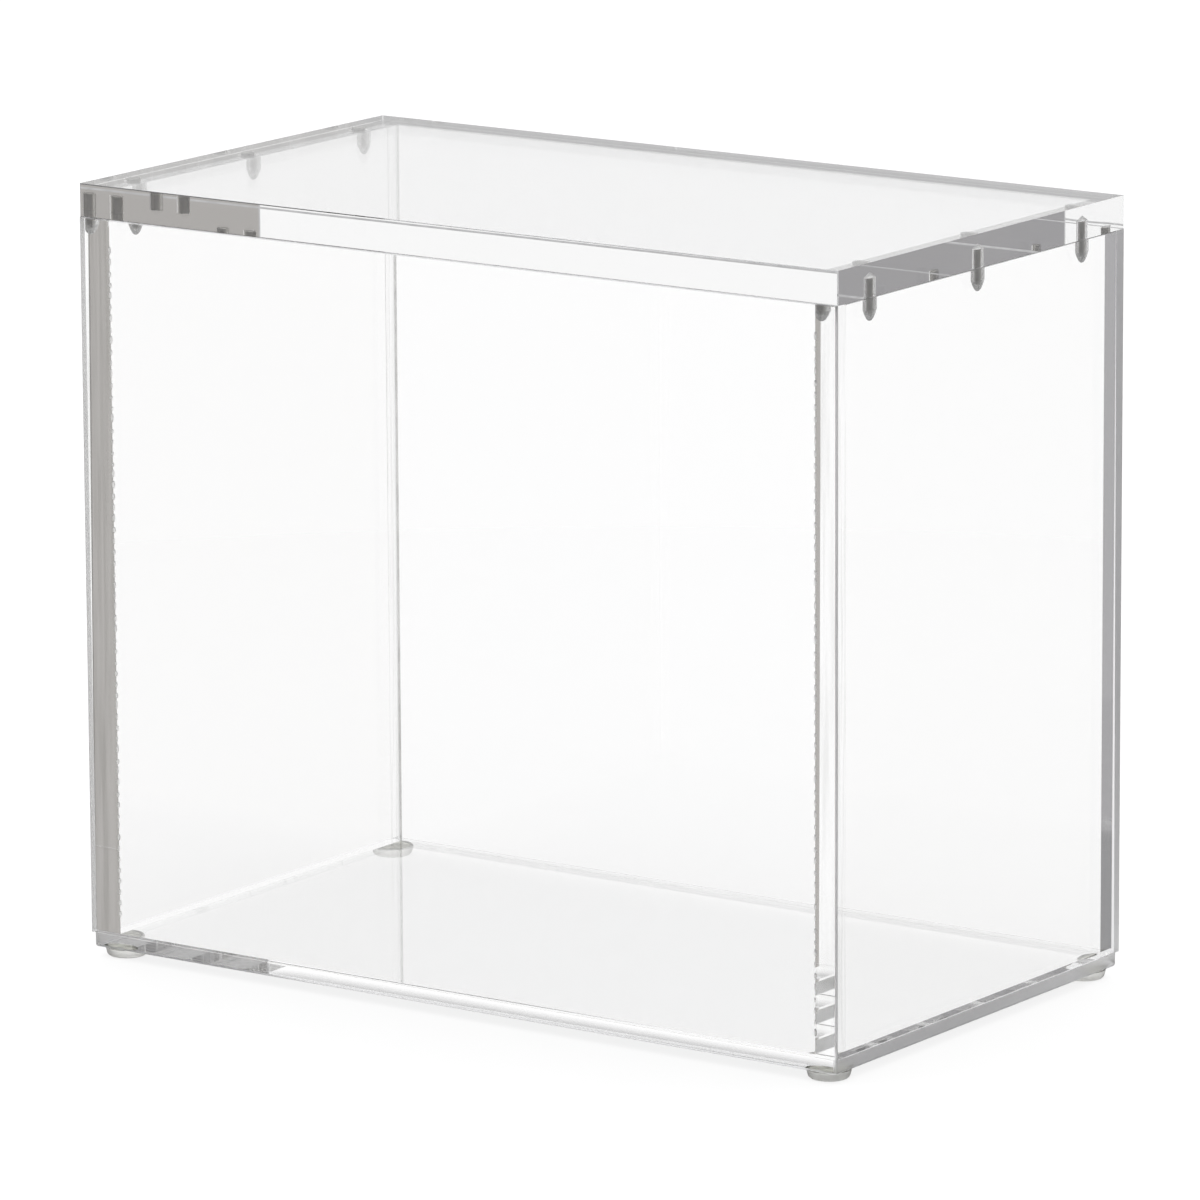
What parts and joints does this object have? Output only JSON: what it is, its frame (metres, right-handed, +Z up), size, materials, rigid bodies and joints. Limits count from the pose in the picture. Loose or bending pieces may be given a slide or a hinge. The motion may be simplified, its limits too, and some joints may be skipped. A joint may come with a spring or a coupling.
{
  "type": "acrylic storage box with lid",
  "caption": "Clear acrylic box with thick side walls and a thick lift-off slab lid that steel pins locate in holes in the wall tops; it stands on clear round stick-on feet.",
  "frame": {"origin": "on the surface that the feet stand on, under the middle of the box", "axes": "+X to the right as seen from the front, +Y to the rear, +Z up; the front panel faces -Y"},
  "size_m": [0.256, 0.145, 0.2242],
  "materials": {
    "clear_acrylic": "clear cast sheet with polished edges",
    "pin_steel": "ground",
    "clear_foot": "clear soft polyurethane",
    "foot_adhesive": "clear tacky film"
  },
  "bodies": {
    "box": {"base_plate": "clear_acrylic", "front_panel": "clear_acrylic", "back_panel": "clear_acrylic", "left_wall": "clear_acrylic", "right_wall": "clear_acrylic", "foot_front_left": "clear_foot", "foot_front_right": "clear_foot", "foot_rear_left": "clear_foot", "foot_rear_right": "clear_foot", "adhesive_front_left": "foot_adhesive", "adhesive_front_right": "foot_adhesive", "adhesive_rear_left": "foot_adhesive", "adhesive_rear_right": "foot_adhesive"},
    "lid": {"lid": "clear_acrylic", "pin_left_front": "pin_steel", "pin_left_middle": "pin_steel", "pin_left_rear": "pin_steel", "pin_right_front": "pin_steel", "pin_right_middle": "pin_steel", "pin_right_rear": "pin_steel"}
  },
  "joints": [
    {"name": "lid_lift", "type": "slide", "parent": "box", "child": "lid", "axis": [0, 0, 1], "range_m": [0, 0.15]}
  ]
}
